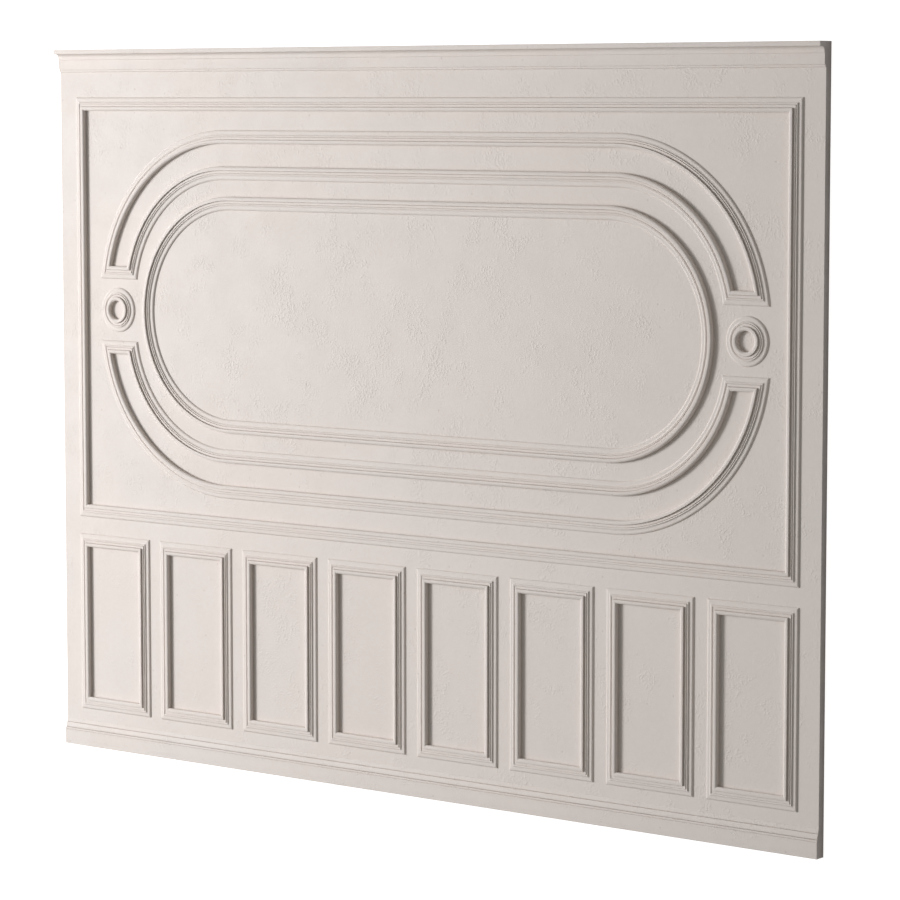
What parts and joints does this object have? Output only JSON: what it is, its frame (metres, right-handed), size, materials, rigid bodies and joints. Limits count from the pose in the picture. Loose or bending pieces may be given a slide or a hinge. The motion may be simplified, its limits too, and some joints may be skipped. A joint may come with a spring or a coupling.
{
  "type": "three-dimensional wall panel",
  "caption": "Wall panel with raised stepped mouldings: cornice, skirting, a large frame round an oval, curved frames and rosettes, and a row of upright frames.",
  "frame": {"origin": "middle of the board's back face, which lies on the floor", "axes": "+X along the panel's width, to the right as seen from the front, +Y up the wall towards the cornice, +Z out of the decorated face"},
  "size_m": [3.6, 2.8, 0.072],
  "materials": {
    "board_paint": "matte off-white paint with a fine stipple on a fibreboard sheet",
    "moulding_paint": "matte off-white paint with a fine stipple on fibreboard mouldings"
  },
  "bodies": {
    "root": {"backing_board": "board_paint", "cornice": "moulding_paint", "large_frame_rails": "moulding_paint", "large_frame_stiles": "moulding_paint", "lower_c_frame_ends": "moulding_paint", "lower_c_frame_inner_arcs": "moulding_paint", "lower_c_frame_inner_straight": "moulding_paint", "lower_c_frame_outer_arcs": "moulding_paint", "lower_c_frame_outer_straight": "moulding_paint", "lower_frame_1_rails": "moulding_paint", "lower_frame_1_stiles": "moulding_paint", "lower_frame_2_rails": "moulding_paint", "lower_frame_2_stiles": "moulding_paint", "lower_frame_3_rails": "moulding_paint", "lower_frame_3_stiles": "moulding_paint", "lower_frame_4_rails": "moulding_paint", "lower_frame_4_stiles": "moulding_paint", "lower_frame_5_rails": "moulding_paint", "lower_frame_5_stiles": "moulding_paint", "lower_frame_6_rails": "moulding_paint", "lower_frame_6_stiles": "moulding_paint", "lower_frame_7_rails": "moulding_paint", "lower_frame_7_stiles": "moulding_paint", "lower_frame_8_rails": "moulding_paint", "lower_frame_8_stiles": "moulding_paint", "oval_bottom_arcs": "moulding_paint", "oval_straights": "moulding_paint", "oval_top_arcs": "moulding_paint", "rosettes": "moulding_paint", "skirting": "moulding_paint", "upper_c_frame_ends": "moulding_paint", "upper_c_frame_inner_arcs": "moulding_paint", "upper_c_frame_inner_straight": "moulding_paint", "upper_c_frame_outer_arcs": "moulding_paint", "upper_c_frame_outer_straight": "moulding_paint"}
  },
  "joints": []
}
